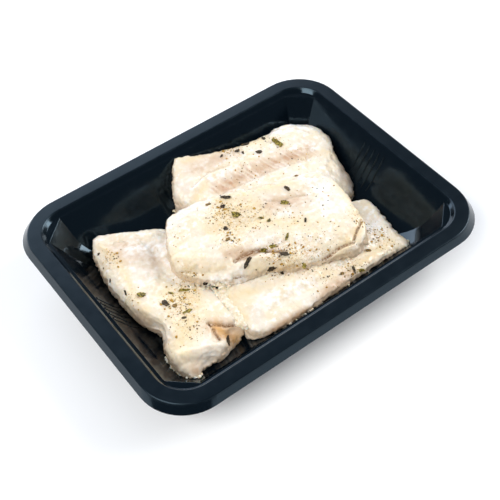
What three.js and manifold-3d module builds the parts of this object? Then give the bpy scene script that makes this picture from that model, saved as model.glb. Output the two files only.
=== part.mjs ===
// A black plastic meal tray that holds four pieces of cooked white fish with herbs and pepper.
// Millimetres, +Z up. The origin is the middle of the tray's underside and +X runs along its
// long side. The tray is one thermoformed sheet; each piece of fish is a solid of its own.

import * as THREE from "three";
import { mergeVertices } from "three/addons/utils/BufferGeometryUtils.js";
import Module from "manifold-3d";

const wasm = await Module();
wasm.setup();

// ---------------------------------------------------------------- tray sizes

const TRAY_LENGTH = 227;
const TRAY_WIDTH = 174.4;
const TRAY_HEIGHT = 32;
const SHEET = 0.9; // wall thickness
const SKIRT_DROP = 5.2; // height of the edge that turns down outside
const SKIRT_FLARE = 2.5; // how far that edge leans out
const FOLD_CORNER = 28; // radius of the outer corners
const FOLD_ROUND = 0.4;
const FLANGE = 8.8; // flat rim, from the fold to the lip
const STEP_DEPTH = 2.9; // short drop inside the lip
const STEP_INSET = 2; // the drop leans in
const LEDGE = 1.4; // narrow shelf below the step
const DRAFT = THREE.MathUtils.degToRad(30); // lean of the walls
const FOOT_RADIUS = 26; // wide round between wall and floor
const CORNER_CUT = [14, 12.6]; // flat facet across each inner corner, at the ledge
const CUT_AT_FOOT = [9.2, 8.4];
const CUT_AT_FLOOR = [5, 5];
const CORNER_STEPS = 12;
const FOOT_STEPS = 7;

const FLUTES = 5; // fine upright ribs in the middle of each short wall
const FLUTE_SPACING = 4.4;
const FLUTE_RADIUS = 0.7;
const FLUTE_TIP_RADIUS = 0.3;
const FLUTE_TOP = 28; // height of their upper ends
const FLUTE_BOTTOM = 7;
const FLUTE_STEPS = 5;
const FLUTE_SIDES = 6;

const GAP = 0.3; // clearance between neighbouring solids

// ---------------------------------------------------------------- fish sizes

const STATIONS = 38; // cross-sections along a fillet
const TOP_POINTS = 15; // points across the upper side of a section
const UNDER_POINTS = 6;
const BELLY = 4.5; // squareness of the underside
const END_SHARES = [[0.55, 0.94], [0.9, 0.99]]; // height and width of the sections at an end

const FLAKE_CORNERS = 6; // flat chips of dried herb and cracked pepper
const FLAKE_THICKNESS = 1;
const FLAKE_SUNK = 0.6;

const FISH_COLOR = 0xf3e6cf;
const TRAY_COLOR = 0x22282f;

// ---------------------------------------------------------------- small helpers

function toSolid(geometry) {
  const bare = geometry.index ? geometry.toNonIndexed() : geometry.clone();
  bare.deleteAttribute("normal");
  bare.deleteAttribute("uv");
  const merged = mergeVertices(bare, 1e-4);
  const mesh = new wasm.Mesh({
    numProp: 3,
    vertProperties: merged.attributes.position.array,
    triVerts: new Uint32Array(merged.index.array),
  });
  return new wasm.Manifold(mesh);
}

function toGeometry(solid) {
  const mesh = solid.getMesh();
  const geometry = new THREE.BufferGeometry();
  geometry.setAttribute("position", new THREE.BufferAttribute(mesh.vertProperties, 3));
  geometry.setIndex(new THREE.BufferAttribute(mesh.triVerts, 1));
  geometry.computeVertexNormals();
  return geometry;
}

// A closed skin through loops of points. Each loop turns the same way and has the same count;
// the first and the last are closed by a fan round their middle.
function loft(loops) {
  const count = loops[0].length;
  const points = loops.flat();
  const faces = [];
  for (let i = 0; i + 1 < loops.length; i++) {
    for (let k = 0; k < count; k++) {
      const next = (k + 1) % count;
      const a = i * count + k;
      const b = i * count + next;
      const c = (i + 1) * count + next;
      const d = (i + 1) * count + k;
      faces.push(a, d, c, a, c, b);
    }
  }
  const middle = (loop) =>
    loop.reduce((sum, p) => sum.add(p), new THREE.Vector3()).divideScalar(loop.length);
  const first = points.push(middle(loops[0])) - 1;
  const last = points.push(middle(loops.at(-1))) - 1;
  const base = (loops.length - 1) * count;
  for (let k = 0; k < count; k++) {
    const next = (k + 1) % count;
    faces.push(first, k, next, last, base + next, base + k);
  }
  const geometry = new THREE.BufferGeometry().setFromPoints(points);
  geometry.setIndex(faces);
  return geometry;
}

// Smooth value along a list of evenly spaced ones, with t from 0 to 1.
function along(values, t) {
  const place = t * (values.length - 1);
  const low = Math.min(Math.floor(place), values.length - 2);
  return THREE.MathUtils.lerp(values[low], values[low + 1], place - low);
}

function numberFrom(seed) {
  let state = seed;
  return () => {
    state = (state * 1664525 + 1013904223) % 4294967296;
    return state / 4294967296;
  };
}

// ---------------------------------------------------------------- the tray

const FOLD_X = TRAY_LENGTH / 2 - SKIRT_FLARE;
const FOLD_Y = TRAY_WIDTH / 2 - SKIRT_FLARE;
const LIP_X = FOLD_X - FLANGE;
const LIP_Y = FOLD_Y - FLANGE;
const LIP_CORNER = FOLD_CORNER - FLANGE;
const WALL_X = LIP_X - STEP_INSET - LEDGE;
const WALL_Y = LIP_Y - STEP_INSET - LEDGE;
const LEDGE_Z = TRAY_HEIGHT - STEP_DEPTH;
const FLOOR_Z = SHEET;
const FOOT_SWEEP = Math.PI / 2 - DRAFT;
const FOOT_TOP_Z = FLOOR_Z + FOOT_RADIUS * (1 - Math.cos(FOOT_SWEEP));
const FOOT_INSET = (LEDGE_Z - FOOT_TOP_Z) * Math.tan(DRAFT);
const FLOOR_INSET = FOOT_INSET + FOOT_RADIUS * Math.sin(FOOT_SWEEP);

// Rectangle with round corners.
function roundLoop(halfX, halfY, radius, z) {
  const loop = [];
  for (let corner = 0; corner < 4; corner++) {
    const sideX = corner === 0 || corner === 3 ? 1 : -1;
    const sideY = corner < 2 ? 1 : -1;
    for (let i = 0; i <= CORNER_STEPS; i++) {
      const angle = (Math.PI / 2) * (corner + i / CORNER_STEPS);
      const x = sideX * (halfX - radius) + radius * Math.cos(angle);
      const y = sideY * (halfY - radius) + radius * Math.sin(angle);
      loop.push(new THREE.Vector3(x, y, z));
    }
  }
  return loop;
}

// Rectangle with straight facets across its corners, and as many points as the round one.
function facetLoop(halfX, halfY, cut, z) {
  const loop = [];
  for (let corner = 0; corner < 4; corner++) {
    const sideX = corner === 0 || corner === 3 ? 1 : -1;
    const sideY = corner < 2 ? 1 : -1;
    const onShortWall = new THREE.Vector3(sideX * halfX, sideY * (halfY - cut[1]), z);
    const onLongWall = new THREE.Vector3(sideX * (halfX - cut[0]), sideY * halfY, z);
    const [from, to] = corner % 2 === 0 ? [onShortWall, onLongWall] : [onLongWall, onShortWall];
    for (let i = 0; i <= CORNER_STEPS; i++) {
      loop.push(from.clone().lerp(to, i / CORNER_STEPS));
    }
  }
  return loop;
}

// The round between floor and wall, from the floor up, at a distance outside the inner face.
function footLoops(outside) {
  const loops = [];
  for (let i = 0; i <= FOOT_STEPS; i++) {
    const share = i / FOOT_STEPS;
    const angle = FOOT_SWEEP * share;
    const radius = FOOT_RADIUS + outside;
    const reach = radius * Math.sin(angle) - FLOOR_INSET;
    const z = FLOOR_Z + FOOT_RADIUS - radius * Math.cos(angle);
    const cut = CUT_AT_FLOOR.map((v, axis) => THREE.MathUtils.lerp(v, CUT_AT_FOOT[axis], share));
    loops.push(facetLoop(WALL_X + reach, WALL_Y + reach, cut, z));
  }
  return loops;
}

function skirtLoop(inset) {
  const halfX = TRAY_LENGTH / 2 - inset;
  const halfY = TRAY_WIDTH / 2 - inset;
  return roundLoop(halfX, halfY, FOLD_CORNER - inset, TRAY_HEIGHT - SKIRT_DROP);
}

function insideLoops() {
  const stepX = LIP_X - STEP_INSET;
  const stepY = LIP_Y - STEP_INSET;
  const stepCorner = LIP_CORNER - STEP_INSET;
  const top = TRAY_HEIGHT;
  return [
    ...footLoops(0),
    facetLoop(WALL_X, WALL_Y, CORNER_CUT, LEDGE_Z),
    roundLoop(stepX, stepY, stepCorner, LEDGE_Z),
    roundLoop(LIP_X, LIP_Y, LIP_CORNER, top - FOLD_ROUND),
    roundLoop(LIP_X + FOLD_ROUND, LIP_Y + FOLD_ROUND, LIP_CORNER + FOLD_ROUND, top),
    roundLoop(FOLD_X - FOLD_ROUND, FOLD_Y - FOLD_ROUND, FOLD_CORNER - FOLD_ROUND, top),
    roundLoop(FOLD_X, FOLD_Y, FOLD_CORNER, top - FOLD_ROUND),
    skirtLoop(0),
  ];
}

function outsideLoops() {
  const under = TRAY_HEIGHT - SHEET;
  const stepX = LIP_X - STEP_INSET + SHEET;
  const stepY = LIP_Y - STEP_INSET + SHEET;
  const stepCorner = LIP_CORNER - STEP_INSET + SHEET;
  return [
    skirtLoop(SHEET),
    roundLoop(FOLD_X - SHEET, FOLD_Y - SHEET, FOLD_CORNER - SHEET, under),
    roundLoop(LIP_X + SHEET, LIP_Y + SHEET, LIP_CORNER + SHEET, under),
    roundLoop(stepX, stepY, stepCorner, LEDGE_Z - SHEET),
    facetLoop(WALL_X + SHEET, WALL_Y + SHEET, CORNER_CUT, LEDGE_Z - SHEET),
    ...footLoops(SHEET).reverse(),
  ];
}

// A place on the inner face of a short wall, at a height above the table.
function wallPoint(side, y, z) {
  let inset = (LEDGE_Z - z) * Math.tan(DRAFT);
  if (z < FOOT_TOP_Z) {
    const sweep = Math.acos(1 - (z - FLOOR_Z) / FOOT_RADIUS);
    inset = FLOOR_INSET - FOOT_RADIUS * Math.sin(sweep);
  }
  return new THREE.Vector3(side * (WALL_X - inset), y, z);
}

// One upright rib, half sunk in a short wall, that follows it down and gets thinner.
function fluteGeometry(side, y) {
  const loops = [];
  for (let i = 0; i <= FLUTE_STEPS; i++) {
    const share = i / FLUTE_STEPS;
    const middle = wallPoint(side, y, THREE.MathUtils.lerp(FLUTE_BOTTOM, FLUTE_TOP, share));
    const radius = THREE.MathUtils.lerp(FLUTE_TIP_RADIUS, FLUTE_RADIUS, share);
    const loop = [];
    for (let k = 0; k < FLUTE_SIDES; k++) {
      const angle = (2 * Math.PI * k) / FLUTE_SIDES;
      const offset = new THREE.Vector3(Math.cos(angle), Math.sin(angle), 0);
      loop.push(offset.multiplyScalar(radius).add(middle));
    }
    loops.push(loop);
  }
  return loft(loops.reverse());
}

function traySolid() {
  let tray = toSolid(loft([...insideLoops(), ...outsideLoops()]));
  for (const side of [-1, 1]) {
    for (let i = 0; i < FLUTES; i++) {
      const y = (i - (FLUTES - 1) / 2) * FLUTE_SPACING;
      tray = tray.add(toSolid(fluteGeometry(side, y)));
    }
  }
  return tray;
}

// The room inside the tray, a gap clear of its floor and walls.
function roomSolid() {
  const above = TRAY_HEIGHT + 20;
  const loops = [
    ...footLoops(-GAP),
    facetLoop(WALL_X - GAP, WALL_Y - GAP, CORNER_CUT, LEDGE_Z),
    facetLoop(WALL_X - GAP, WALL_Y - GAP, CORNER_CUT, above),
  ];
  return toSolid(loft(loops.reverse()));
}

// ---------------------------------------------------------------- the fish

// Each fillet lies between two rails, given as the widest line of its sides. topA and topB are
// the heights of its upper face beside each rail, seat the height of its underside, and square
// tells how sharply the upper face turns down at either rail. Relief is made of soft ridges,
// or grooves where the height is negative, along short paths over the upper face. Each herb
// chip is given by its place, length, width and turn in degrees.
const FILLETS = {
  fillet_left: {
    railA: [[-74, 59, 15], [-79.5, 47, 10], [-83.8, 23, 8], [-84.5, 9, 8.5], [-83.7, -9, 8],
      [-83.7, -23, 8], [-83.7, -35, 8], [-84.2, -47, 8], [-80, -57, 9.5]],
    railB: [[-34, 39.5, 11], [-31, 20, 10], [-34, 0, 10], [-38, -16, 11], [-39.5, -34, 11],
      [-40, -48, 8], [-54, -53, 6.5], [-67, -58, 8]],
    topA: [20, 19, 18.5, 18, 18.5, 18.5, 18, 16.5, 8],
    topB: [16.5, 17.5, 18, 18, 18, 17, 16, 16, 7],
    seat: 0.5,
    square: [4.2, 3.2],
    phase: 0,
    relief: [
      { path: [[-54, -45], [-45, -50]], width: 4.5, height: -6 },
      { path: [[-85, -8], [-81, -18], [-83, -27]], width: 4, height: -9 },
      { path: [[-73, 40], [-75, 24], [-80, 4], [-78, -8]], width: 3, height: 0.9 },
      { path: [[-62, 44], [-66, -10]], width: 7, height: 0.8 },
      { path: [[-50, 40], [-55, -25]], width: 4, height: -1 },
      { path: [[-76, -50], [-66, -54]], width: 4, height: -2.2 },
      { path: [[-79, -44], [-71, -47], [-60, -50]], width: 2.5, height: 1.2 },
      { path: [[-70, 47], [-60, 43]], width: 3, height: -0.8 },
    ],
    flakes: [[-83, 24, 3.5, 1.8, 45], [-81, 9, 4.3, 1.8, 67], [-74.5, 1.5, 4.5, 4.5, 140],
      [-67, -11.5, 5.3, 3.7, 93], [-64, -16.5, 2.6, 2.6, 140], [-60.5, -23.5, 5.2, 2.7, 0],
      [-53, -10, 5, 2.2, 152], [-52.5, -49.5, 6, 2.3, 54]],
  },
  fillet_right: {
    railA: [[-38, -55, 8], [-27, -61, 11], [-8, -62, 12], [12, -61, 11.5], [32, -60, 10.5],
      [54, -59, 9], [67, -58, 8], [74, -59, 8.5]],
    railB: [[-39, -47, 9], [-37, -30, 11], [-33, -13, 11], [-12, -11, 11], [20, -11, 11],
      [48, -12, 11], [66, -13, 11], [79, -17, 9]],
    topA: [13, 16, 17, 17, 16, 14, 8.5],
    topB: [14, 17, 17, 17, 17, 16, 14],
    seat: 0.5,
    square: [3.6, 3.4],
    phase: 2,
    relief: [
      { path: [[-12, -53], [20, -51], [58, -51]], width: 3.5, height: -1.2 },
      { path: [[-30, -38], [10, -48]], width: 8, height: 1.2 },
      { path: [[40, -30], [70, -45]], width: 6, height: 1 },
      { path: [[79, -30], [77, -46]], width: 4, height: -2 },
      { path: [[-2, -44], [22, -52]], width: 3, height: 0.8 },
      { path: [[-34, -50], [-22, -56]], width: 4, height: -1.2 },
    ],
    flakes: [[32.5, -57, 4.4, 1.8, 80], [36.5, -59, 3.5, 2.2, 150], [25, -55.5, 2.5, 2.2, 0],
      [49, -51, 3, 2.3, 135]],
  },
  fillet_back: {
    railA: [[-20, 50, 9], [-12, 30, 10], [4, 18, 10], [26, 8, 10], [50, -2, 9], [66, -6, 7],
      [76, -6, 5]],
    railB: [[-6.3, 71.6, 29], [3, 69.8, 26], [17.7, 66.1, 20], [37, 62, 16], [52, 60, 15],
      [64, 61, 15], [75, 59.5, 14], [89, 48, 14.5], [90, 34, 15], [84.8, 18.7, 9], [83, 1.3, 7.5]],
    topA: [23, 24.5, 25, 25, 23, 18, 9],
    topB: [31, 28.5, 26.5, 25, 24, 23.5, 21, 16, 9],
    seat: 0.5,
    square: [3, 4],
    phase: 4,
    relief: [
      { path: [[2, 38], [40, 34], [70, 27]], width: 6, height: -1.8 },
      { path: [[-8, 46], [12, 47], [36, 43]], width: 3, height: 1 },
      { path: [[57, 53], [60, 62]], width: 3, height: -1.6 },
      { path: [[66, 52], [74, 54]], width: 6, height: 1 },
      { path: [[80, 44], [86, 34]], width: 6, height: 1.4 },
      { path: [[80, 52], [84, 54]], width: 3, height: -1.4 },
    ],
    flakes: [[41, 58, 4.5, 2.7, 137], [53, 55, 2.6, 2.6, 0], [32.5, 55, 2.6, 3, 140],
      [43, 46, 3.4, 3.4, 160], [57, 46, 7.9, 4, 101]],
  },
  fillet_top: {
    railA: [[-49, 11, 22], [-51.5, -1, 20], [-43, -12, 19], [-27, -25, 18], [-10, -30, 18],
      [7, -40, 18], [23, -45, 18], [37, -51, 18], [49, -49, 19]],
    railB: [[-43, 23, 24], [-33, 34, 25], [-16, 33, 27], [2, 27, 28], [26, 18, 28], [46, 13, 27],
      [61, 4, 25], [61, -15, 24], [58, -31, 23], [54, -43, 21]],
    topA: [27, 28, 28, 27, 27, 26, 25],
    topB: [29, 32, 33, 33, 33, 31, 26],
    seat: 14,
    square: [2.8, 3],
    phase: 6,
    relief: [
      { path: [[-22, -17], [-10, -17], [-3, -20], [6, -28]], width: 2.6, height: -2.6 },
      { path: [[-22, -23], [-12, -24], [-3, -30], [8, -39]], width: 4.5, height: 1.8 },
      { path: [[-46, -6], [-36, -12], [-28, -17]], width: 2.5, height: -1.2 },
      { path: [[16, 7], [27, 0], [40, -5]], width: 2.6, height: -1.3 },
      { path: [[-6, 23], [24, 13], [56, -2]], width: 4, height: 1.2 },
      { path: [[16, -43], [30, -43], [46, -44]], width: 2.4, height: -1 },
      { path: [[-48, 4], [-38, -6], [-26, -14]], width: 4, height: 0.9 },
    ],
    flakes: [[0, 21.5, 6, 3, 140], [-5.5, 17.5, 2.6, 3, 140], [-3, 8, 4.6, 4.6, 135],
      [33, 5, 4, 2.3, 100], [25, -2, 4, 4, 140], [-13.5, 3.5, 3, 3, 115],
      [-17.5, -4, 3.3, 2, 20], [-4, -19.5, 3.5, 3, 135], [1, -21.5, 4, 3, 155],
      [3.5, -30, 5.3, 5, 163], [-18, -23, 6.8, 2.8, 30], [-6.5, -31, 5, 2.7, 10],
      [9, -40.5, 3.6, 3, 50], [11, -22.5, 4.4, 2.4, 33]],
  },
};

// Height of the relief over a place: each path counts by its nearest point.
function reliefAt(lines, x, y) {
  const here = new THREE.Vector3(x, y, 0);
  const nearest = new THREE.Vector3();
  let sum = 0;
  for (const { path, width, height } of lines) {
    let away = Infinity;
    for (let i = 0; i + 1 < path.length; i++) {
      const from = new THREE.Vector3(...path[i], 0);
      const to = new THREE.Vector3(...path[i + 1], 0);
      new THREE.Line3(from, to).closestPointToPoint(here, true, nearest);
      away = Math.min(away, nearest.distanceTo(here));
    }
    sum += height * Math.exp(-((away / width) ** 2));
  }
  return sum;
}

// Slight unevenness of the flesh, in flakes that cross the fillet.
function flakesAt(phase, x, y) {
  const broad = Math.sin(0.16 * x + 0.09 * y + phase) * Math.sin(0.11 * y - 0.07 * x + 1.3);
  const fine = Math.sin(0.62 * x - 0.35 * y + phase) * Math.cos(0.27 * y + 0.4);
  return 0.6 * broad + 0.3 * fine;
}

function railCurve(points) {
  const path = points.map((p) => new THREE.Vector3(...p));
  return new THREE.CatmullRomCurve3(path, false, "centripetal");
}

// Rises from 0 at either edge to 1 between them.
const dome = (v, squareness) => (1 - Math.abs(2 * v - 1) ** squareness) ** (1 / squareness);

// Shares of the way across, closer together near the edges.
const across = (i, count) => (1 - Math.cos((Math.PI * i) / count)) / 2;

function section(fish, a, b, t, grow) {
  const out = b.clone().sub(a).setZ(0).normalize().multiplyScalar(grow);
  const from = a.clone().sub(out);
  const to = b.clone().add(out);
  const loop = [];
  for (let i = 0; i < TOP_POINTS; i++) {
    const v = across(i, TOP_POINTS - 1);
    const p = from.clone().lerp(to, v);
    const face = THREE.MathUtils.lerp(along(fish.topA, t), along(fish.topB, t), v) + grow;
    const uneven = reliefAt(fish.relief, p.x, p.y) + flakesAt(fish.phase, p.x, p.y);
    p.z += (face - p.z + uneven) * dome(v, fish.square[v < 0.5 ? 0 : 1]);
    loop.push(p);
  }
  for (let i = UNDER_POINTS; i > 0; i--) {
    const v = across(i, UNDER_POINTS + 1);
    const p = from.clone().lerp(to, v);
    p.z += (fish.seat - grow - p.z) * dome(v, BELLY);
    loop.push(p);
  }
  return loop;
}

function shrink(loop, [height, width]) {
  const middle = new THREE.Box3().setFromPoints(loop).getCenter(new THREE.Vector3());
  for (const p of loop) {
    p.x = THREE.MathUtils.lerp(middle.x, p.x, width);
    p.y = THREE.MathUtils.lerp(middle.y, p.y, width);
    p.z = THREE.MathUtils.lerp(middle.z, p.z, height);
  }
}

function filletSolid(name, grow = 0) {
  const fish = FILLETS[name];
  const curveA = railCurve(fish.railA);
  const curveB = railCurve(fish.railB);
  const loops = [];
  for (let i = 0; i <= STATIONS; i++) {
    const t = (i / STATIONS + across(i, STATIONS)) / 2;
    loops.push(section(fish, curveA.getPointAt(t), curveB.getPointAt(t), t, grow));
  }
  END_SHARES.forEach((shares, i) => {
    shrink(loops[i], shares);
    shrink(loops.at(-1 - i), shares);
  });
  return toSolid(loft(loops));
}

// An uneven flat chip, its upper side facing +Z.
function flakeGeometry(length, width, random) {
  const outline = [];
  for (let i = 0; i < FLAKE_CORNERS; i++) {
    const angle = (2 * Math.PI * (i + 0.5 * random())) / FLAKE_CORNERS;
    const reach = 0.85 + 0.25 * random();
    const x = (length / 2) * reach * Math.cos(angle);
    const y = (width / 2) * reach * Math.sin(angle);
    outline.push(new THREE.Vector2(x, y));
  }
  const options = { depth: FLAKE_THICKNESS, bevelEnabled: false };
  return new THREE.ExtrudeGeometry(new THREE.Shape(outline), options).translate(0, 0, -FLAKE_SUNK);
}

// The chips of one fillet, laid flat on its upper face and partly sunk in it.
function addFlakes(fish, flakes, seed) {
  const random = numberFrom(seed);
  const surface = new THREE.Mesh(toGeometry(fish));
  const down = new THREE.Vector3(0, 0, -1);
  let whole = fish;
  for (const [x, y, length, width, turn] of flakes) {
    const ray = new THREE.Raycaster(new THREE.Vector3(x, y, 2 * TRAY_HEIGHT), down);
    const hit = ray.intersectObject(surface)[0];
    const flake = flakeGeometry(length, width, random);
    flake.rotateZ(THREE.MathUtils.degToRad(turn));
    const tilt = new THREE.Quaternion();
    tilt.setFromUnitVectors(new THREE.Vector3(0, 0, 1), hit.face.normal);
    flake.applyQuaternion(tilt);
    flake.translate(hit.point.x, hit.point.y, hit.point.z);
    whole = whole.add(toSolid(flake));
  }
  return whole;
}

// ---------------------------------------------------------------- assembly

const trayMaterial = new THREE.MeshStandardMaterial({
  color: TRAY_COLOR,
  roughness: 0.25,
  metalness: 0,
});
const fishMaterial = new THREE.MeshStandardMaterial({
  color: FISH_COLOR,
  roughness: 0.5,
  metalness: 0,
});

function meshOf(name, solid, material) {
  const mesh = new THREE.Mesh(toGeometry(solid), material);
  mesh.name = name;
  return mesh;
}

const group = new THREE.Group();
group.add(meshOf("tray", traySolid(), trayMaterial));

const room = roomSolid();
const laid = [];
for (const [name, { flakes }] of Object.entries(FILLETS)) {
  let fish = addFlakes(filletSolid(name), flakes, 11 + laid.length).intersect(room);
  for (const below of laid) {
    fish = fish.subtract(filletSolid(below, GAP));
  }
  laid.push(name);
  group.add(meshOf(name, fish, fishMaterial));
}

export default group;
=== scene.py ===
# %% [markdown]
# # Cooked cod in a black meal tray
# A thermoformed tray of black polyester holds four pieces of cooked cod with dried herbs and
# cracked pepper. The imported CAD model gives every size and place; this lesson adds the looks.

import math
import random

import bmesh
import bpy
import numpy as np
from mathutils import Matrix, Vector, noise
from mathutils.bvhtree import BVHTree


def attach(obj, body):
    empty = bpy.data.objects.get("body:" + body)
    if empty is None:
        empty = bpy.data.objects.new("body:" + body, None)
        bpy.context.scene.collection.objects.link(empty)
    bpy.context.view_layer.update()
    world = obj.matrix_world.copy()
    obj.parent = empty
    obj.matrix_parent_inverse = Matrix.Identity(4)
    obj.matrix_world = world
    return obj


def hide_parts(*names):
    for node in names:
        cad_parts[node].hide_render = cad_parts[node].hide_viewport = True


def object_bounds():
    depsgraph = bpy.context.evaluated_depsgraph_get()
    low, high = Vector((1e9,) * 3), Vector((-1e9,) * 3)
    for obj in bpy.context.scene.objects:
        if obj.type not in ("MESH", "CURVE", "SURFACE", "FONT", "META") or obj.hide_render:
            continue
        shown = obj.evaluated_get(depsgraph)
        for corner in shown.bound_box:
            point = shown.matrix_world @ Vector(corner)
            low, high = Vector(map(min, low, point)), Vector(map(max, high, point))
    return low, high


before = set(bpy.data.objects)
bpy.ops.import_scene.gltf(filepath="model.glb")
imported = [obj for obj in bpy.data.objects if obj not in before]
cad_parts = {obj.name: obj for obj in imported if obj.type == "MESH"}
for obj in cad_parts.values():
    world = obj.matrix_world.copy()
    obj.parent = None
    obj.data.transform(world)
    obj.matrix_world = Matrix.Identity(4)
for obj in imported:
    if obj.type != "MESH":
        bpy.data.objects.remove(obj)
cad_low, cad_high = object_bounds()
MM = 0.001
print("CAD box in mm:", [round(v / MM, 1) for v in (*cad_low, *cad_high)])

# %% [markdown]
# ## Small helpers
# Colours are picked as sRGB hex values, because that is how a swatch is read off, and turned to
# the linear numbers that a shader needs. Each material is a short chain of nodes, so one
# function adds any node with its settings and links, and three more add noise, stretch its
# range and mix two colours.


# %% Colours, nodes and selection
def linear(hex_colour):
    parts = [int(hex_colour[i : i + 2], 16) / 255 for i in (1, 3, 5)]
    return [p / 12.92 if p <= 0.04045 else ((p + 0.055) / 1.055) ** 2.4 for p in parts] + [1]


def add_node(tree, kind, values=None, **settings):
    made = tree.nodes.new(kind)
    for name, value in settings.items():
        setattr(made, name, value)
    for name, value in (values or {}).items():
        if isinstance(value, bpy.types.NodeSocket):
            tree.links.new(value, made.inputs[name])
        else:
            made.inputs[name].default_value = value
    return made


def new_material(name):
    material = bpy.data.materials.new(name)
    material.use_nodes = True
    tree = material.node_tree
    tree.nodes.clear()
    return material, tree


def noise_of(tree, place, size, detail):
    """Noise whose blobs are about size mm across."""
    values = {"Vector": place, "Scale": 1 / (size * MM), "Detail": detail}
    return add_node(tree, "ShaderNodeTexNoise", values).outputs[0]


def spread(tree, socket, low, high, reach=1.0):
    """Stretch what lies between low and high over 0 to reach."""
    values = {"Value": socket, "From Min": low, "From Max": high, "To Max": reach}
    return add_node(tree, "ShaderNodeMapRange", values).outputs[0]


def mixed(tree, factor, below, above):
    """One colour over another; each is a hex value or the output of an earlier mix."""
    made = add_node(tree, "ShaderNodeMix", data_type="RGBA")
    tree.links.new(factor, made.inputs[0])
    for socket, value in ((6, below), (7, above)):
        if isinstance(value, bpy.types.NodeSocket):
            tree.links.new(value, made.inputs[socket])
        else:
            made.inputs[socket].default_value = linear(value)
    return made.outputs[2]


def select_only(piece):
    bpy.ops.object.select_all(action="DESELECT")
    piece.select_set(True)
    bpy.context.view_layer.objects.active = piece


def apply_modifier(piece, kind, **settings):
    select_only(piece)
    modifier = piece.modifiers.new(kind.lower(), kind)
    for name, value in settings.items():
        setattr(modifier, name, value)
    bpy.ops.object.modifier_apply(modifier=modifier.name)


def merged_copy(node_name, piece_name):
    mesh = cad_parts[node_name].data.copy()
    mesh.name = piece_name
    mesh.materials.clear()
    piece = bpy.data.objects.new(piece_name, mesh)
    bpy.context.scene.collection.objects.link(piece)
    select_only(piece)
    bpy.ops.mesh.customdata_custom_splitnormals_clear()
    bpy.ops.object.mode_set(mode="EDIT")
    bpy.ops.mesh.select_all(action="SELECT")
    bpy.ops.mesh.remove_doubles(threshold=0.002 * MM)
    bpy.ops.object.mode_set(mode="OBJECT")
    return piece


# %% [markdown]
# ## Camera
# The photo was taken from above the near left corner with a fairly long lens. The camera's
# place and lens were worked out from the tray's outline.

# %% Camera
CAMERA_PLACE = Vector((-214.46, -314.61, 457.24)) * MM
CAMERA_RIGHT = Vector((0.79902, -0.60009, -0.03824))
CAMERA_VIEW = Vector((0.36249, 0.53146, -0.76561))
camera_up = CAMERA_RIGHT.cross(CAMERA_VIEW).normalized()
camera = bpy.data.objects.new("camera", bpy.data.cameras.new("camera"))
camera.data.sensor_width = 36
camera.data.lens = 70.82
turn = Matrix((CAMERA_RIGHT, camera_up, -CAMERA_VIEW)).transposed()
camera.matrix_world = Matrix.Translation(CAMERA_PLACE) @ turn.to_4x4()
bpy.context.scene.collection.objects.link(camera)
bpy.context.scene.camera = camera
print("camera at", [round(v, 3) for v in CAMERA_PLACE], "with lens", camera.data.lens)

# %% [markdown]
# ## Studio
# The photo is high key: the white table is almost burnt out, yet the glossy tray mirrors a dark
# ceiling. So the room stays dim, and the light comes from big softboxes that the tray's floor
# doesn't mirror, one on either side, and from a pale wall low behind it, which the satin rim
# mirrors. The faint blue-grey shadow falls along the near long side.

# %% Room light, panels and table
scene = bpy.context.scene
scene.view_settings.view_transform = "Standard"
world = bpy.data.worlds.new("studio")
scene.world = world
world.use_nodes = True
world.node_tree.nodes.clear()
ROOM = {"Color": linear("#e6effb"), "Strength": 0.18}
room = add_node(world.node_tree, "ShaderNodeBackground", ROOM)
add_node(world.node_tree, "ShaderNodeOutputWorld", {"Surface": room.outputs[0]})


def softbox(name, place, width, height, glow, colour):
    """A rectangular panel that faces the tray; glow is its brightness, white paper being 1."""
    data = bpy.data.lights.new(name, "AREA")
    data.shape = "RECTANGLE"
    data.size = width
    data.size_y = height
    data.energy = math.pi * width * height * glow
    data.color = linear(colour)[:3]
    box = bpy.data.objects.new(name, data)
    box.location = place
    box.rotation_euler = (-Vector(place)).to_track_quat("-Z", "Y").to_euler()
    scene.collection.objects.link(box)


softbox("wall_behind", (0.05, 1.7, 0.8), 2.3, 1.2, 3.5, "#eaf2ff")
softbox("box_left", (-1.2, -0.3, 1.15), 1.1, 1.0, 7.6, "#fffdfa")
softbox("box_right", (1.4, -0.35, 0.85), 1.0, 0.9, 9.8, "#ffffff")

bpy.ops.mesh.primitive_plane_add(size=6)
table = bpy.context.object
table.name = "table"
white, tree = new_material("white_card")
card = add_node(tree, "ShaderNodeBsdfPrincipled", {"Base Color": linear("#fbfcfd"), "Roughness": 0.7})
add_node(tree, "ShaderNodeOutputMaterial", {"Surface": card.outputs[0]})
table.data.materials.append(white)

# %% [markdown]
# ## Tray
# The real tray is one sheet of black crystallised polyester, drawn hot into a mould. Its
# creases are slightly round and catch fine highlights, so the CAD solid is copied and its long
# creases get a small bevel, and the normals are weighted so that the flats stay flat. The ribs
# on the short walls are left as they are.

# %% Tray shape
CREASE = math.radians(16)
SMOOTH_UNDER = math.radians(34)
ROUND_WIDTH, SHORTEST_CREASE = 0.24 * MM, 1.0 * MM
# Creases above this height belong to the rim and are rounded in full, the others slightly.
RIM_FOOT = 28.5 * MM
FULL_ROUND, SLIGHT_ROUND = 1.0, 0.3
# The ribs lie in the middle of the two short walls.
RIBS_HALF_WIDTH, RIBS_FROM = 10.5 * MM, 70 * MM


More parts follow.
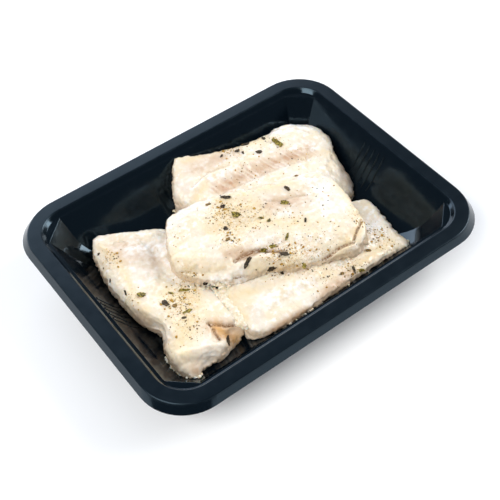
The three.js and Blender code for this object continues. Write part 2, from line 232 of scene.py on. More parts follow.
def bevel_long_creases(piece, width, shortest):
    mesh = piece.data
    edit = bmesh.new()
    edit.from_mesh(mesh)
    weight = edit.edges.layers.float.new("bevel_weight_edge")
    count = 0
    for edge in edit.edges:
        if len(edge.link_faces) == 2 and edge.calc_face_angle() > CREASE:
            middle = (edge.verts[0].co + edge.verts[1].co) / 2
            on_short_wall = abs(middle.x) > RIBS_FROM and middle.z < RIM_FOOT
            on_rib = on_short_wall and abs(middle.y) < RIBS_HALF_WIDTH
            if not on_rib and edge.calc_length() > shortest:
                edge[weight] = FULL_ROUND if middle.z > RIM_FOOT else SLIGHT_ROUND
                count += 1
    edit.to_mesh(mesh)
    edit.free()
    apply_modifier(
        piece, "BEVEL", width=width, segments=2, limit_method="WEIGHT", use_clamp_overlap=False
    )
    return count


tray = merged_copy("tray", "tray_shell")
count = bevel_long_creases(tray, ROUND_WIDTH, SHORTEST_CREASE)
select_only(tray)
bpy.ops.object.shade_smooth_by_angle(angle=SMOOTH_UNDER)
apply_modifier(tray, "WEIGHTED_NORMAL", mode="FACE_AREA", weight=50, keep_sharp=True)
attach(tray, "root")
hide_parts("tray")
print("tray_shell:", len(tray.data.polygons), "faces,", count, "creases rounded")

# %% [markdown]
# ## Tray finish
# Black polyester is glossy with a faint blue cast. The hot mould leaves the sheet slightly
# wavy: a broad soft bump of about 14 mm bends its reflections. A faint grain of 0.5 mm covers
# it, and the flat rim is duller than the rest, as the mould's edge is matt there.

# %% Tray material
plastic, tree = new_material("black_polyester")
place = add_node(tree, "ShaderNodeTexCoord").outputs["Object"]
height = add_node(tree, "ShaderNodeSeparateXYZ", {"Vector": place}).outputs["Z"]
rim = spread(tree, height, 30.5 * MM, 31.8 * MM)
waves = noise_of(tree, place, 14, 1.0)
grain = noise_of(tree, place, 0.5, 2.0)
smears = noise_of(tree, place, 6, 4.0)
wavy = add_node(
    tree, "ShaderNodeBump", {"Height": waves, "Strength": 0.25, "Distance": 0.35 * MM}
)
grainy = add_node(
    tree,
    "ShaderNodeBump",
    {"Height": grain, "Normal": wavy.outputs[0], "Strength": 0.12, "Distance": 0.03 * MM},
)
gloss = add_node(
    tree,
    "ShaderNodeMapRange",
    {"Value": smears, "From Min": 0.35, "From Max": 0.7, "To Min": 0.09, "To Max": 0.16},
).outputs[0]
matt = add_node(
    tree, "ShaderNodeMath", {0: rim, 1: 0.2, 2: gloss}, operation="MULTIPLY_ADD"
).outputs[0]
shader = add_node(
    tree,
    "ShaderNodeBsdfPrincipled",
    {
        "Base Color": linear("#040b12"),
        "Roughness": matt,
        "IOR": 1.5,
        "Specular Tint": linear("#bddff5"),
        "Normal": grainy.outputs[0],
    },
)
add_node(tree, "ShaderNodeOutputMaterial", {"Surface": shader.outputs[0]})
tray.data.materials.append(plastic)

# %% [markdown]
# ## Fish
# Each fillet starts from its CAD solid. A fine even skin is laid over it, the facets are
# smoothed away, and then the skin is pushed in and out by noise, as the soft flesh of cooked
# cod is uneven: broad swells, small flakes, and ragged wet fringes low on the sides. Creases,
# crests and dents are drawn where the photo shows them. The sides of the left and right
# fillets that face each other are swelled, so that they meet over the gap in the solids.


# %% Helpers for shaping and painting
def coordinates(piece):
    points = np.empty(len(piece.data.vertices) * 3)
    piece.data.vertices.foreach_get("co", points)
    return points.reshape(-1, 3)


def normals(piece):
    values = np.empty(len(piece.data.vertices) * 3)
    piece.data.vertex_normals.foreach_get("vector", values)
    return values.reshape(-1, 3)


def noise_at(points, size, offset=0.0):
    shift = Vector((offset, 1.7 * offset, -offset))
    scale = 1 / (size * MM)
    return np.array([noise.noise(Vector(p) * scale + shift) for p in points])


def stroke(points, path, width):
    """How much a brush of that width, in mm, drawn along the path, covers each point."""
    flat = points[:, :2] / MM
    away = np.full(len(points), np.inf)
    for start, end in zip(path, path[1:]):
        start, end = np.array(start, float), np.array(end, float)
        step = end - start
        share = np.clip((flat - start) @ step / (step @ step), 0, 1)
        gap = np.linalg.norm(flat - start - share[:, None] * step, axis=1)
        away = np.minimum(away, gap)
    return np.exp(-((away / width) ** 2))


def paint(piece, name, values):
    layer = piece.data.attributes.new(name, "FLOAT", "POINT")
    layer.data.foreach_set("value", np.clip(values, 0, 1).astype(np.float32))


def smooth_step(values, low, high):
    share = np.clip((values - low) / (high - low), 0, 1)
    return share * share * (3 - 2 * share)


# %% Where the larger chips lie
# Each row is x, y, length and width in mm and the turn in degrees.
DARK_CHIPS = [
    (41, 58, 4.7, 2.8, 137), (53, 55, 2.8, 2.4, 0), (32.5, 55, 2.7, 3, 140), (43, 46, 3.5, 3.4, 160),
    (22, 57, 2, 1.6, 30), (34.5, 52, 2, 1.6, 60), (0, 21.5, 6.2, 3, 140), (-5.5, 17.5, 2.8, 3, 140),
    (33, 5, 4.2, 2.2, 100), (-13.5, 3.5, 3.2, 2.8, 115), (27, -19.5, 3, 1.5, 50),
    (3.5, -30, 5.6, 5, 163), (-18, -23, 7, 2.8, 30), (-6.5, -31, 5.4, 2.6, 10), (-2.5, -35, 2.4, 2, 100),
    (32.5, -57, 4.6, 1.7, 80), (-82, 24, 2.4, 1.2, 45), (-80.5, 9, 3.0, 1.2, 67),
    (-67, -11.5, 5.4, 3.4, 93), (-64.4, -26, 2.4, 1.4, 160), (-41.7, -14.4, 3, 2.2, 150),
    (-52.5, -49.5, 6.2, 2.3, 54), (-77.5, 43.5, 1.8, 1.2, 0),
]
GREEN_CHIPS = [
    (57, 46, 8, 3.8, 101), (-3, 8, 4.8, 4.6, 135), (-4, -19.5, 3.8, 2.8, 135), (1, -21.5, 4.4, 2.6, 155),
    (9, -40.5, 3.4, 3, 50), (36.5, -59, 3.8, 2.1, 150), (-74.5, 1.5, 4.4, 4, 140),
    (-60.5, -23.5, 5.6, 2.6, 0), (-53, -10, 5.4, 2, 152), (-60.5, -7.5, 3, 1.5, 130),
    (11, -22.5, 4.4, 1.8, 33), (25, -2, 4.2, 3.8, 140), (9.8, -7, 2.4, 2.2, 0), (7.6, -2.7, 3, 1.5, 140),
]
BROWN_CHIPS = [
    (-17.5, -4, 3.4, 1.8, 20), (25, -55.5, 2.6, 2.1, 0), (49, -51, 3, 2, 135), (-64, -16.5, 2.6, 2.6, 140),
    (-11, 24.7, 3, 2.2, 140), (47.5, 12, 2, 2, 0),
]

# %% Creases, crests, stains and painted shade of each fillet
# A crease or a crest is a path in mm, its width and how far it goes down or up.
CREASES = {
    "fillet_left": [
        ([(-74, 48), (-72.4, 39), (-74, 24), (-81, -2), (-77.5, -16), (-79, -26), (-83, -34)], 1.8, 0.5),
        ([(-80, -44), (-71, -48), (-65, -49), (-57, -52)], 1.6, 0.5),
        ([(-55.6, -36), (-48, -42.5), (-41.3, -46)], 1.1, -1.5),
        ([(-55, -37), (-55, -47)], 1.2, -1.3),
        ([(-60, 6), (-52, -4), (-46, -12)], 1.6, -0.5),
        ([(-66, 52), (-68, 40)], 2.5, -0.5),
    ],
    "fillet_right": [
        ([(-24, -50), (-6, -49), (14, -52)], 2.0, -0.5),
        ([(4, -60), (30, -57), (60, -54)], 2.0, 0.4),
        ([(58, -34), (66, -46)], 1.6, -0.4),
    ],
    "fillet_back": [
        ([(-8, 43.5), (8, 47), (20, 44.5), (33, 42.5)], 1.5, 0.7),
        ([(-8, 46.5), (8, 50), (20, 47.5)], 1.1, -0.8),
        ([(4, 33), (36, 29), (68, 25)], 1.2, -0.6),
        ([(72, 54), (80, 40)], 1.4, -0.7),
        ([(81, 20), (72, 14)], 1.3, -0.7),
    ],
    "fillet_top": [
        ([(-22, -16.7), (-15.9, -15.6), (-10, -17.3), (-5.2, -19.2), (0.7, -24.5), (4.3, -29)], 1.2, -2.3),
        ([(-21.5, -22), (-13, -23.2), (-6.4, -26), (-1.4, -31), (2.9, -37)], 2.4, 0.8),
        ([(-28, -24), (-17.4, -29), (-10, -31.5), (-4, -35.5), (6.5, -42.5)], 1.1, -1.9),
        ([(15.7, -43.8), (28, -44), (40, -46.5), (54, -38)], 1.0, -1.8),
        ([(17, 7), (24, 1), (31.6, -1.7), (38.6, -4.8)], 0.9, -0.8),
        ([(-5, 23.4), (9.5, 18), (24, 13), (38, 6.7), (52, -0.3)], 2.6, 0.5),
        ([(-48.5, 4.3), (-42.8, -3.8), (-35, -11), (-26, -17)], 2.4, 0.5),
        ([(-52, 0), (-45.7, -6), (-36.4, -13), (-29.7, -17.5)], 1.2, -0.8),
        ([(-30, 10), (-8, 2), (16, -6)], 2.2, -0.45),
        ([(30, 12), (44, 9), (55, 2)], 1.2, -0.7),
    ],
}
# A dent is a point, its reach and how far the flesh near it is pushed, in mm.
DENTS = {
    "fillet_left": [((-83, -21, 9), (7, 8, 7), (6.5, 0, -0.5)), ((-69, -58, 8), (8, 6, 5), (0, 4.2, 0)),
                    ((-48, -51, 10), (5, 6, 6), (0, 4.2, -1.8)), ((-74, 58, 12), (5, 4, 6), (0, -1.8, 0)),
                    ((-60, 58, 12), (3, 4, 6), (0, 1.5, 0)), ((-40, -32, 11), (5, 15, 7), (1.5, 0, 0.4))],
    "fillet_right": [((-10, -64, 5), (6, 4, 5), (0, 2.4, 0)), ((-36, -36, 9), (5, 13, 7), (-1.7, 0, 0.6))],
    "fillet_back": [((60, 62, 12), (5, 5, 8), (0, -2.0, 0)), ((90, 24, 9), (4, 6, 6), (-2.2, 0, 0))],
    "fillet_top": [((-44, -14, 22), (7, 6, 6), (0, -1.4, -0.8)), ((30, -50, 18), (9, 4, 5), (0, 1.6, 0))],
}
# The strip on the back fillet where the pink membrane shows through in streaks.
MEMBRANE = [(6, 37), (36, 34.5), (70, 31)]
# Each stain is a path and the width of the brush that paints it, in mm. The hollow shade is
# painted shade: a brown laid on hollows, end faces and low edges. Amber is the orange brown of
# the left fillet's notch.
STAINS_AND_SHADE = {
    "fillet_left": {
        "yellow": [([(-74, 46), (-72, 30), (-78, 2), (-78, -10)], 3), ([(-58, -24), (-78, -42)], 9),
                   ([(-50, -14), (-62, -10)], 8)],
        "white": [([(-60, 34), (-46, 24)], 6)],
        "hollow_shade": [([(-87, -10), (-83, -20), (-85, -29)], 5), ([(-76, -57), (-60, -60)], 3.5)],
        "amber": [([(-53, -40), (-46, -50)], 3.5)],
        "pink": [([(-54, -40), (-42, -47)], 5), ([(-76, -55), (-60, -60)], 5), ([(-86, -6), (-82, -28)], 4.5),
                 ([(-64, 36), (-56, 22)], 9)],
    },
    "fillet_right": {
        "yellow": [([(-34, -30), (0, -46), (20, -52)], 5), ([(36, -56), (74, -52)], 4),
                   ([(-37, -30), (-37, -46)], 3)],
        "white": [([(-20, -42), (8, -50)], 5), ([(56, -30), (66, -40)], 5)],
        "hollow_shade": [([(-30, -60), (10, -64), (70, -62)], 2)],
        "pink": [([(0, -60), (30, -58)], 3)],
    },
    "fillet_back": {
        "yellow": [([(-10, 40), (12, 47), (36, 44)], 2.5), ([(0, 66), (40, 60)], 3),
                   ([(60, 40), (84, 20)], 4), ([(44, 58), (60, 52)], 5)],
        "white": [([(4, 45), (22, 43)], 3), ([(64, 56), (82, 48)], 7), ([(76, 30), (62, 38)], 4)],
        "hollow_shade": [([(84, 2), (90, 14)], 3)],
        "pink": [(MEMBRANE, 5.5), ([(80, 2), (86, 12)], 5), ([(0, 58), (28, 56)], 6)],
    },
    "fillet_top": {
        "yellow": [([(-49, 6), (-44, -6), (-28, -19)], 5), ([(-6, 24), (24, 14), (50, 4)], 4),
                   ([(61, -8), (59, -26), (50, -42), (28, -46)], 4), ([(-18, -26), (4, -38)], 6),
                   ([(-22, 8), (8, -6), (24, -20)], 6), ([(-10, 14), (10, 8)], 6)],
        "white": [([(46, 8), (50, -6), (42, -20)], 7), ([(18, -6), (23, -9)], 2.5),
                  ([(-38, -17), (-24, -25)], 3)],
        "hollow_shade": [([(-20, -19), (-6, -20), (3, -28)], 1.6)],
        "pink": [([(18, 2), (34, -6)], 6), ([(-24, -12), (-12, -16)], 3)],
    },
}
SKIN_GRID = 0.62 * MM
# Where the seasoning lies thickest: place, reach and number of grains.
DUSTING = [
    ((-8, 14), 9, 170), ((2, 4), 13, 170), ((-16, -4), 9, 90), ((20, -14), 12, 70), ((0, -29), 8, 190),
    ((12, -36), 8, 110), ((28, -38), 12, 60), ((-60, -16), 9, 190), ((-74, 36), 6, 60), ((-50, -8), 7, 90),
    ((-66, -32), 10, 90), ((30, 57), 9, 90), ((56, 48), 10, 50), ((26, 33), 13, 60), ((62, -46), 9, 110),
    ((34, -55), 9, 90), ((14, -50), 10, 60), ((46, -8), 12, 30), ((-80, 4), 6, 30), ((-40, 20), 9, 20),
    ((60, 26), 12, 40), ((54, -38), 8, 60),
]


def flat_places(points):
    """The wide leaf chips of the CAD solids, so that the skin can be smoothed under them."""
    cover = np.zeros(len(points))
    for x, y, length, _, _ in DARK_CHIPS + GREEN_CHIPS + BROWN_CHIPS:
        away = np.linalg.norm(points[:, :2] / MM - [x, y], axis=1)
        cover = np.maximum(cover, 1 - smooth_step(away, 0.5 * length, 0.5 * length + 3))
    return cover


def lay_skin(name):
    """A fine even mesh over a copy of the solid, with the facets and flat chips smoothed away."""
    piece = merged_copy(name, "cod_" + name.split("_")[1])
    apply_modifier(piece, "REMESH", mode="VOXEL", voxel_size=SKIN_GRID)
    apply_modifier(piece, "SMOOTH", factor=0.5, iterations=5)
    points = coordinates(piece)
    group = piece.vertex_groups.new(name="under_chips")
    for index, share in enumerate(flat_places(points)):
        if share > 0.02:
            group.add([index], float(share), "REPLACE")
    apply_modifier(piece, "SMOOTH", factor=0.5, iterations=24, vertex_group="under_chips")
    return piece


def ruffle(piece, name, seed):
    """Push the skin in and out by noise, fold it at the creases and press in the dents."""
    points, out = coordinates(piece), normals(piece)
    broad = noise_at(points, 11, seed)
    middle = noise_at(points, 4.5, seed + 2)
    small = noise_at(points, 2.1, seed + 5)
    fine = noise_at(points, 0.95, seed + 9)
    height = points[:, 2] / MM
    bottom = height.min()
    side = 1 - smooth_step(out[:, 2], 0.2, 0.75)
    fringe = side * (1 - smooth_step(height - bottom, 2, 9))
    push = 0.1 + 0.6 * broad + (0.42 + 0.5 * side) * middle + (0.26 + 0.5 * side) * small
    push += (0.13 + 0.2 * side) * fine + fringe * (1.3 * np.abs(small) + 0.6 * np.abs(fine))
    up = smooth_step(out[:, 2], 0.1, 0.6)
    folds = np.zeros(len(points))
    for path, width, rise in CREASES[name]:
        wavy = points + np.stack([middle, broad, 0 * broad], axis=1) * 1.2 * MM
        folds += rise * stroke(wavy, path, width)
    if name == "fillet_back":
        band = stroke(points, MEMBRANE, 6)
        along = points @ np.array([[0.96, 0.03, 0], [0.28, 0.06, 0], [0, 0, 0.2]])
        streak = band * smooth_step(noise_at(along, 1.5, 17) + 0.35 * middle, -0.25, 0.45)
        folds += 0.45 * (streak - 0.5 * band)
        paint(piece, "streak", streak * smooth_step(points[:, 2] / MM, 12, 16))
    moved = points + out * push[:, None] * MM
    moved[:, 2] += up * folds * MM
    for place, reach, shove in DENTS[name]:
        near = np.exp(-(((points / MM - place) / reach) ** 2).sum(axis=1))
        moved += near[:, None] * np.array(shove) * MM
    moved[:, 2] = np.clip(moved[:, 2], points[:, 2].min(), cad_high.z - 0.3 * MM)
    keep_in_tray(moved)
    piece.data.vertices.foreach_set("co", moved.ravel())
    piece.data.update()
    # The side mask also tints steep sides a darker tan in the fish material, as painted shade.
    paint(piece, "side", side)
    paint(piece, "low", 1 - smooth_step(height - bottom, 1.5, 7))
    # The crease mask marks where the skin folds down; the fish material paints shade there.
    paint(piece, "crease", up * smooth_step(-folds, 0.25, 1.5))


tray_tree = BVHTree.FromObject(tray, bpy.context.evaluated_depsgraph_get())
ABOVE_ALL, DOWN = 60 * MM, Vector((0, 0, -1))
# Points above this height aren't lifted.
TRAY_DEPTH = 22 * MM


def tray_height(x, y):
    """How high the inside of the tray is at a place given in metres."""
    hit = tray_tree.ray_cast(Vector((x, y, ABOVE_ALL)), DOWN)[0]
    return hit.z if hit else 0.0


def keep_in_tray(points, margin=0.12 * MM):
    """Lift every low point that would sink into the tray until it lies just over it."""
    for point in points:
        if point[2] < TRAY_DEPTH:
            point[2] = max(point[2], tray_height(point[0], point[1]) + margin)


def seasoned(points):
    """How thickly the ground seasoning covers each point."""
    cover = np.zeros(len(points))
    for place, reach, count in DUSTING:
        away = np.linalg.norm(points[:, :2] / MM - place, axis=1)
        cover += count / reach**2 * np.exp(-((away / reach) ** 2)) * 0.55
    return cover


fish = {}
for seed, name in enumerate(CREASES):
    piece = lay_skin(name)
    ruffle(piece, name, 3.1 * seed)
    points = coordinates(piece)
    for zone in ("yellow", "pink", "white", "hollow_shade", "amber"):
        strokes = [stroke(points, path, width) for path, width in STAINS_AND_SHADE[name].get(zone, ())]
        paint(piece, zone, sum(strokes, np.zeros(len(points))))
    paint(piece, "season", seasoned(points))
    select_only(piece)
    bpy.ops.object.shade_smooth()
    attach(piece, "root")
    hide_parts(name)
    fish[name] = piece
    print(piece.name, len(piece.data.polygons), "faces")

# %% [markdown]
# ## Fish finish
# Cooked cod is cream white and slightly translucent, so light goes a millimetre or so in. It is
# pale yellow where oil and herbs have stained it, pinkish grey where the membrane shows, and
# moist, with sharp small highlights over softer ones. Shade is painted into the colour too: brown
# in the hollows, creases and end faces, and a darker tan on the steep sides. The colours are laid
# one over another, each kept to its own zone and broken up by noise.

# %% Fish material
flesh, tree = new_material("cooked_cod")
place = add_node(tree, "ShaderNodeTexCoord").outputs["Object"]
cloud = noise_of(tree, place, 11, 3.0)
mottle = noise_of(tree, place, 3, 3.0)
speck = noise_of(tree, place, 1.2, 2.0)
grit = noise_of(tree, place, 0.7, 3.0)
# Each layer is its colour, its zone, the noise that breaks it up, where in the noise it starts
# and where it is full, and how strong it gets.
LAYERS = [
    ("#f4f1ec", None, mottle, 0.52, 0.66, 0.85),
    ("#e7d3ab", "yellow", mottle, 0.25, 0.65, 1.0),
    ("#ceb399", "pink", cloud, 0.3, 0.55, 0.9),
    ("#bb9476", "streak", mottle, 0.3, 0.6, 0.9),
    # Painted shade: steep sides are tinted a darker tan, as if less lit.
    ("#c4ac90", "side", None, 0.2, 1.0, 0.7),
    # Painted shade: brown laid in the hollows, end faces and along low edges.
    ("#ac8a68", "hollow_shade", cloud, 0.2, 0.5, 0.85),
    ("#e0b071", "amber", cloud, 0.1, 0.4, 0.8),
    ("#efece6", "low", speck, 0.5, 0.62, 0.8),
    ("#f6f4f1", "white", mottle, 0.35, 0.6, 0.9),
    ("#d0a963", "season", speck, 0.48, 0.66, 0.6),
    ("#8f6c36", "season", grit, 0.6, 0.7, 0.75),
    # Painted shade: a dark brown laid into the creases where the skin folds down.
    ("#7d5226", "crease", speck, 0.25, 0.6, 0.9),
]
colour = mixed(tree, spread(tree, cloud, 0.38, 0.62), "#ebe1d3", "#e9dcc3")
for tint, zone, pattern, start, full, strength in LAYERS:
    where = zone and add_node(tree, "ShaderNodeAttribute", attribute_name=zone).outputs["Fac"]
    cover = spread(tree, pattern or where, start, full, strength)
    if where and pattern:
        cover = add_node(tree, "ShaderNodeMath", {0: where, 1: cover}, operation="MULTIPLY").outputs[0]
    colour = mixed(tree, cover, colour, tint)
lumps = add_node(
    tree, "ShaderNodeBump", {"Height": mottle, "Strength": 0.5, "Distance": 0.7 * MM}
)
skin = add_node(
    tree,
    "ShaderNodeBump",
    {"Height": speck, "Normal": lumps.outputs[0], "Strength": 0.4, "Distance": 0.25 * MM},
)
shader = add_node(
    tree,
    "ShaderNodeBsdfPrincipled",
    {
        "Base Color": colour,
        "Roughness": spread(tree, mottle, 0.05, 0.9, 0.7),
        "IOR": 1.38,
        "Normal": skin.outputs[0],
        "Subsurface Weight": 0.4,
        "Subsurface Radius": (1.0, 0.74, 0.56),
        "Subsurface Scale": 1.3 * MM,
        "Coat Weight": 0.45,
        "Coat Roughness": 0.16,
        "Coat IOR": 1.35,
    },
)
add_node(tree, "ShaderNodeOutputMaterial", {"Surface": shader.outputs[0]})
for piece in fish.values():
    piece.data.materials.append(flesh)

# %% [markdown]
# ## Herbs and pepper
# Dried leaves go dark and curl; cracked peppercorns are small dark shards with tan insides, and
# grinding leaves a dust of tan and brown grains. A leaf chip and a grain are each modelled once.
# Copies of the chip lie where the photo shows the larger ones, and the dust is scattered around
# the places where it lies thickest.

# %% A leaf chip and a grain
bpy.ops.mesh.primitive_grid_add(x_subdivisions=9, y_subdivisions=6, size=1)
chip = bpy.context.object
apply_modifier(chip, "SOLIDIFY", thickness=0.1, offset=0)
bpy.ops.mesh.primitive_ico_sphere_add(subdivisions=1, radius=0.5)
grain_shape = bpy.context.object


def shape_of(model):
    return coordinates(model), [tuple(p.vertices) for p in model.data.polygons]


CHIP = shape_of(chip)
GRAIN = shape_of(grain_shape)
for model in (chip, grain_shape):
    bpy.data.objects.remove(model)

depsgraph = bpy.context.evaluated_depsgraph_get()
skin_trees = [BVHTree.FromObject(piece, depsgraph) for piece in fish.values()]
# How level the skin has to be: what lies on a steeper place is moved in, or else left out.
LEVEL, TOO_STEEP = 0.5, 0.35
TRIES, MOVE_IN = 5, 0.97


def surface_under(x, y):
    """The highest fish surface under a place given in mm."""
    best = None
    for skin_tree in skin_trees:
        hit, normal, _, _ = skin_tree.ray_cast(Vector((x * MM, y * MM, ABOVE_ALL)), DOWN)
        if hit and (best is None or hit.z > best[0].z):
            best = (hit, normal)
    return best


def laid(shape, rng, x, y, length, width, height, turn_deg, sink=0.25, curl=0.0):
    """A copy of a shape laid on the fish, uneven and turned about its own middle."""
    found = surface_under(x, y)
    for _ in range(TRIES):
        if found and found[1].z > LEVEL:
            break
        x, y = x * MOVE_IN, y * MOVE_IN
        found = surface_under(x, y)
    if found is None or found[1].z < TOO_STEEP:
        return None
    hit, normal = found
    corners, faces = shape
    shift = Vector((rng.random() * 40, rng.random() * 40, rng.random() * 40))
    local = corners.copy()
    wobble = np.array([noise.noise(Vector(c) * 1.6 + shift) for c in local])
    side = np.array([noise.noise(Vector(c) * 1.6 - shift) for c in local])
    ragged = np.array([noise.noise(Vector(c) * 5.3 + shift) for c in local])
    local[:, 0] *= 1 + 0.45 * wobble + 0.3 * ragged
    local[:, 1] *= 1 + 0.55 * side + 0.35 * ragged
    local[:, 1] *= 1 - 0.45 * (2 * np.abs(corners[:, 0])) ** 2.5
    local[:, 2] += curl * (local[:, 0] ** 2 - 0.08) + 0.5 * curl * wobble
    local *= np.array([length, width, height]) * MM
    up = normal.normalized()
    along = Vector((math.cos(math.radians(turn_deg)), math.sin(math.radians(turn_deg)), 0))
    along = (along - up * along.dot(up)).normalized()
    turn = np.array(Matrix((along, up.cross(along), up)))
    placed = local @ turn + np.array(hit + up * (0.5 - sink) * height * MM)
    placed[:, 2] = np.minimum(placed[:, 2], cad_high.z - 0.02 * MM)
    return placed, faces


def joined(name, copies, material):
    """One piece made of all the copies."""
    vertices, faces = [], []
    for placed, shape_faces in filter(None, copies):
        base = len(vertices)
        vertices.extend(map(tuple, placed))
        faces.extend(tuple(base + i for i in face) for face in shape_faces)
    mesh = bpy.data.meshes.new(name)
    mesh.from_pydata(vertices, [], faces)
    mesh.materials.append(material)
    piece = bpy.data.objects.new(name, mesh)
    scene.collection.objects.link(piece)
    select_only(piece)
    bpy.ops.object.mode_set(mode="EDIT")
    bpy.ops.mesh.select_all(action="SELECT")
    bpy.ops.mesh.normals_make_consistent(inside=False)
    bpy.ops.object.mode_set(mode="OBJECT")
    bpy.ops.object.shade_smooth_by_angle(angle=math.radians(40))
    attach(piece, "root")
    print(name, len(copies), "copies,", len(mesh.polygons), "faces")
    return piece


def plain_material(name, first, second, size, roughness):
    """Dry stuff in two tones, with patches and a light bump of that size in mm."""
    material, tree = new_material(name)
    place = add_node(tree, "ShaderNodeTexCoord").outputs["Object"]
    tone = noise_of(tree, place, size, 2.0)
    bump = add_node(tree, "ShaderNodeBump", {"Height": tone, "Strength": 0.5, "Distance": 0.1 * MM})
    shader = add_node(
        tree,
        "ShaderNodeBsdfPrincipled",
        {
            "Base Color": mixed(tree, spread(tree, tone, 0.4, 0.6), first, second),
            "Roughness": roughness,
            "Specular IOR Level": 0.3,
            "Normal": bump.outputs[0],
        },
    )
    add_node(tree, "ShaderNodeOutputMaterial", {"Surface": shader.outputs[0]})
    return material


# %% Chips that show from a step away
rng = random.Random(7)
# The listed length and width are trimmed to these shares. The model is a tenth as thick as it is
# long, and CHIP_HEIGHT scales that thickness.
CHIP_LENGTH, CHIP_WIDTH, CHIP_HEIGHT = 0.98, 0.86, 4.5
CHIP_SINK, CHIP_CURL = 0.46, 0.12


def chips(rows):
    return [
        laid(
            CHIP, rng, x, y, length * CHIP_LENGTH, width * CHIP_WIDTH, CHIP_HEIGHT, turn, CHIP_SINK, CHIP_CURL
        )
        for x, y, length, width, turn in rows
    ]


dark_leaf = plain_material("dried_herb_dark", "#17120d", "#54452f", 0.9, 0.65)
green_leaf = plain_material("dried_herb_green", "#453a12", "#9a8a3c", 1.0, 0.6)
brown_husk = plain_material("pepper_husk", "#4c3a1c", "#94733a", 0.9, 0.5)
joined("herb_chips_dark", chips(DARK_CHIPS), dark_leaf)
joined("herb_chips_green", chips(GREEN_CHIPS), green_leaf)
joined("pepper_husks", chips(BROWN_CHIPS), brown_husk)


# %% Dust of ground pepper
def dust(share, seed, bulk=1.0):
    """A share of the grains that DUSTING counts; bulk makes them larger."""
    draw = random.Random(seed)
    copies = []
    for (x, y), reach, count in DUSTING:
        for _ in range(round(count * share)):
            size = bulk * (0.26 + 0.75 * draw.random() ** 2.6)
            copies.append(
                laid(
                    GRAIN,
                    draw,
                    draw.gauss(x, reach * 0.6),
                    draw.gauss(y, reach * 0.6),
                    size * 1.3,
                    size,
                    size * 0.6,
                    360 * draw.random(),
                    0.4,
                )
            )
    return copies


tan_grain = plain_material("pepper_grains_tan", "#a98440", "#cfae69", 0.8, 0.6)
joined("pepper_dust_tan", dust(0.4, 21), tan_grain)
gold_fleck = plain_material("pepper_flecks_gold", "#8a6520", "#c49a42", 0.9, 0.6)
joined("pepper_flecks_gold", dust(0.16, 25, 1.6), gold_fleck)
joined("pepper_dust_brown", dust(0.28, 22), brown_husk)
joined("pepper_dust_dark", dust(0.16, 23), dark_leaf)

# %% [markdown]
# ## Curds
# Protein that cooked out of the fish has set as soft white curds along the seams and the lower
# edges. One lump is modelled, uneven copies of it are strung along each seam where they touch
# the fish, and a fine remesh melts them together.

# %% Curds along the seams and edges
bpy.ops.mesh.primitive_ico_sphere_add(subdivisions=2, radius=0.5)
lump_model = bpy.context.object
LUMP = shape_of(lump_model)
bpy.data.objects.remove(lump_model)
CURD_GRID = 0.3 * MM
# A lump farther from the fish than this is left out.
TOUCHING = 0.9 * MM
# Each seam is a path in mm, its heights, its width, the size of its lumps and their number.
SEAMS = [
    ([(-37.2, -19), (-37.8, -26), (-38.6, -36), (-39.2, -44), (-39.6, -49)], (14.5, 13), 0.9, 3.4, 150),
    ([(-37.2, -19), (-37.8, -26), (-38.6, -36), (-39.2, -44)], (10.5, 9), 0.7, 3.6, 90),
    ([(-50, -8), (-40, -17), (-32, -22), (-24, -25)], (17, 16), 1.2, 1.8, 110),
    ([(-42, -14), (-38, -18), (-34, -22)], (13, 12.5), 0.9, 3.0, 80),
    ([(-26, -26.5), (-12, -32), (0, -39), (20, -47), (38, -50)], (15, 15), 0.8, 1.5, 130),
    ([(-86, -34), (-82.5, -48), (-75, -57), (-64, -60), (-54, -57), (-46, -53)], (4, 5), 1.4, 1.5, 420),
    ([(-38, -52), (-20, -60), (-8, -62.5), (12, -62.5)], (3.5, 4), 1.2, 1.2, 130),
    ([(20, -61), (40, -60.5), (66, -59.5), (75, -59)], (5, 6), 0.9, 0.9, 45),
    ([(77, -58), (80, -46), (78.5, -34)], (3, 3), 1.2, 1.5, 160),
    ([(-19, 71), (-20, 56), (-19, 40)], (5, 7), 0.9, 1.3, 160),
    ([(-88, 4), (-86, -14), (-86, -32)], (3, 4), 1.3, 1.3, 160),
]


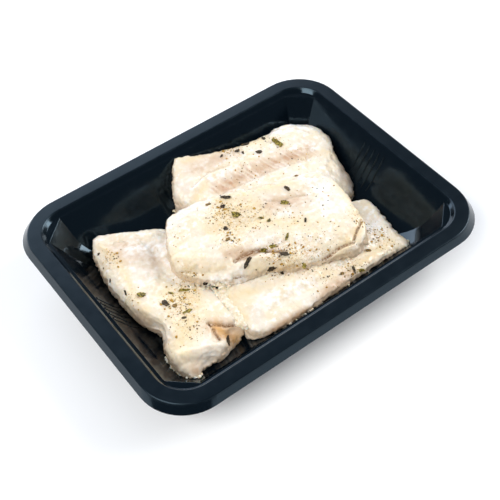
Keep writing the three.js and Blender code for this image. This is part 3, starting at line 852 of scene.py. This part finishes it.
def curds(seed):
    draw = random.Random(seed)
    made = []
    corners, faces = LUMP
    for path, heights, width, bulk, count in SEAMS:
        for _ in range(count):
            spot = draw.random() * (len(path) - 1)
            leg = int(spot)
            start, end = Vector(path[leg]), Vector(path[leg + 1])
            flat = start.lerp(end, spot - leg)
            share = spot / (len(path) - 1)
            height = heights[0] + (heights[1] - heights[0]) * share + draw.gauss(0, 0.9)
            size = bulk * (0.7 + 0.9 * draw.random() ** 2) * MM
            place = np.array([flat.x + draw.gauss(0, width), flat.y + draw.gauss(0, width), height]) * MM
            place[2] = max(place[2], tray_height(place[0], place[1]) + 0.3 * size)
            gap = min(skin_tree.find_nearest(Vector(place))[3] for skin_tree in skin_trees)
            if gap > TOUCHING:
                continue
            shift = Vector((draw.random() * 30, draw.random() * 30, draw.random() * 30))
            bumps = np.array([noise.noise(Vector(c) * 2.4 + shift) for c in corners])
            lump = corners * (1 + 0.7 * bumps[:, None]) * [size, size, 0.7 * size] + place
            keep_in_tray(lump)
            made.append((lump, faces))
    return made


curd, tree = new_material("white_curd")
place = add_node(tree, "ShaderNodeTexCoord").outputs["Object"]
tone = noise_of(tree, place, 2, 2.0)
shader = add_node(
    tree,
    "ShaderNodeBsdfPrincipled",
    {
        "Base Color": mixed(tree, spread(tree, tone, 0.35, 0.65), "#efe8d8", "#e0cfae"),
        "Roughness": 0.35,
        "Subsurface Weight": 0.5,
        "Subsurface Radius": (1.0, 0.7, 0.5),
        "Subsurface Scale": 1.2 * MM,
        "Coat Weight": 0.5,
        "Coat Roughness": 0.12,
    },
)
add_node(tree, "ShaderNodeOutputMaterial", {"Surface": shader.outputs[0]})
curd_piece = joined("protein_curds", curds(31), curd)
apply_modifier(curd_piece, "REMESH", mode="VOXEL", voxel_size=CURD_GRID)
apply_modifier(curd_piece, "SMOOTH", factor=0.5, iterations=3)
melted = coordinates(curd_piece)
keep_in_tray(melted)
curd_piece.data.vertices.foreach_set("co", melted.ravel())
curd_piece.data.update()
select_only(curd_piece)
bpy.ops.object.shade_smooth()
print("curds melted together:", len(curd_piece.data.polygons), "faces")
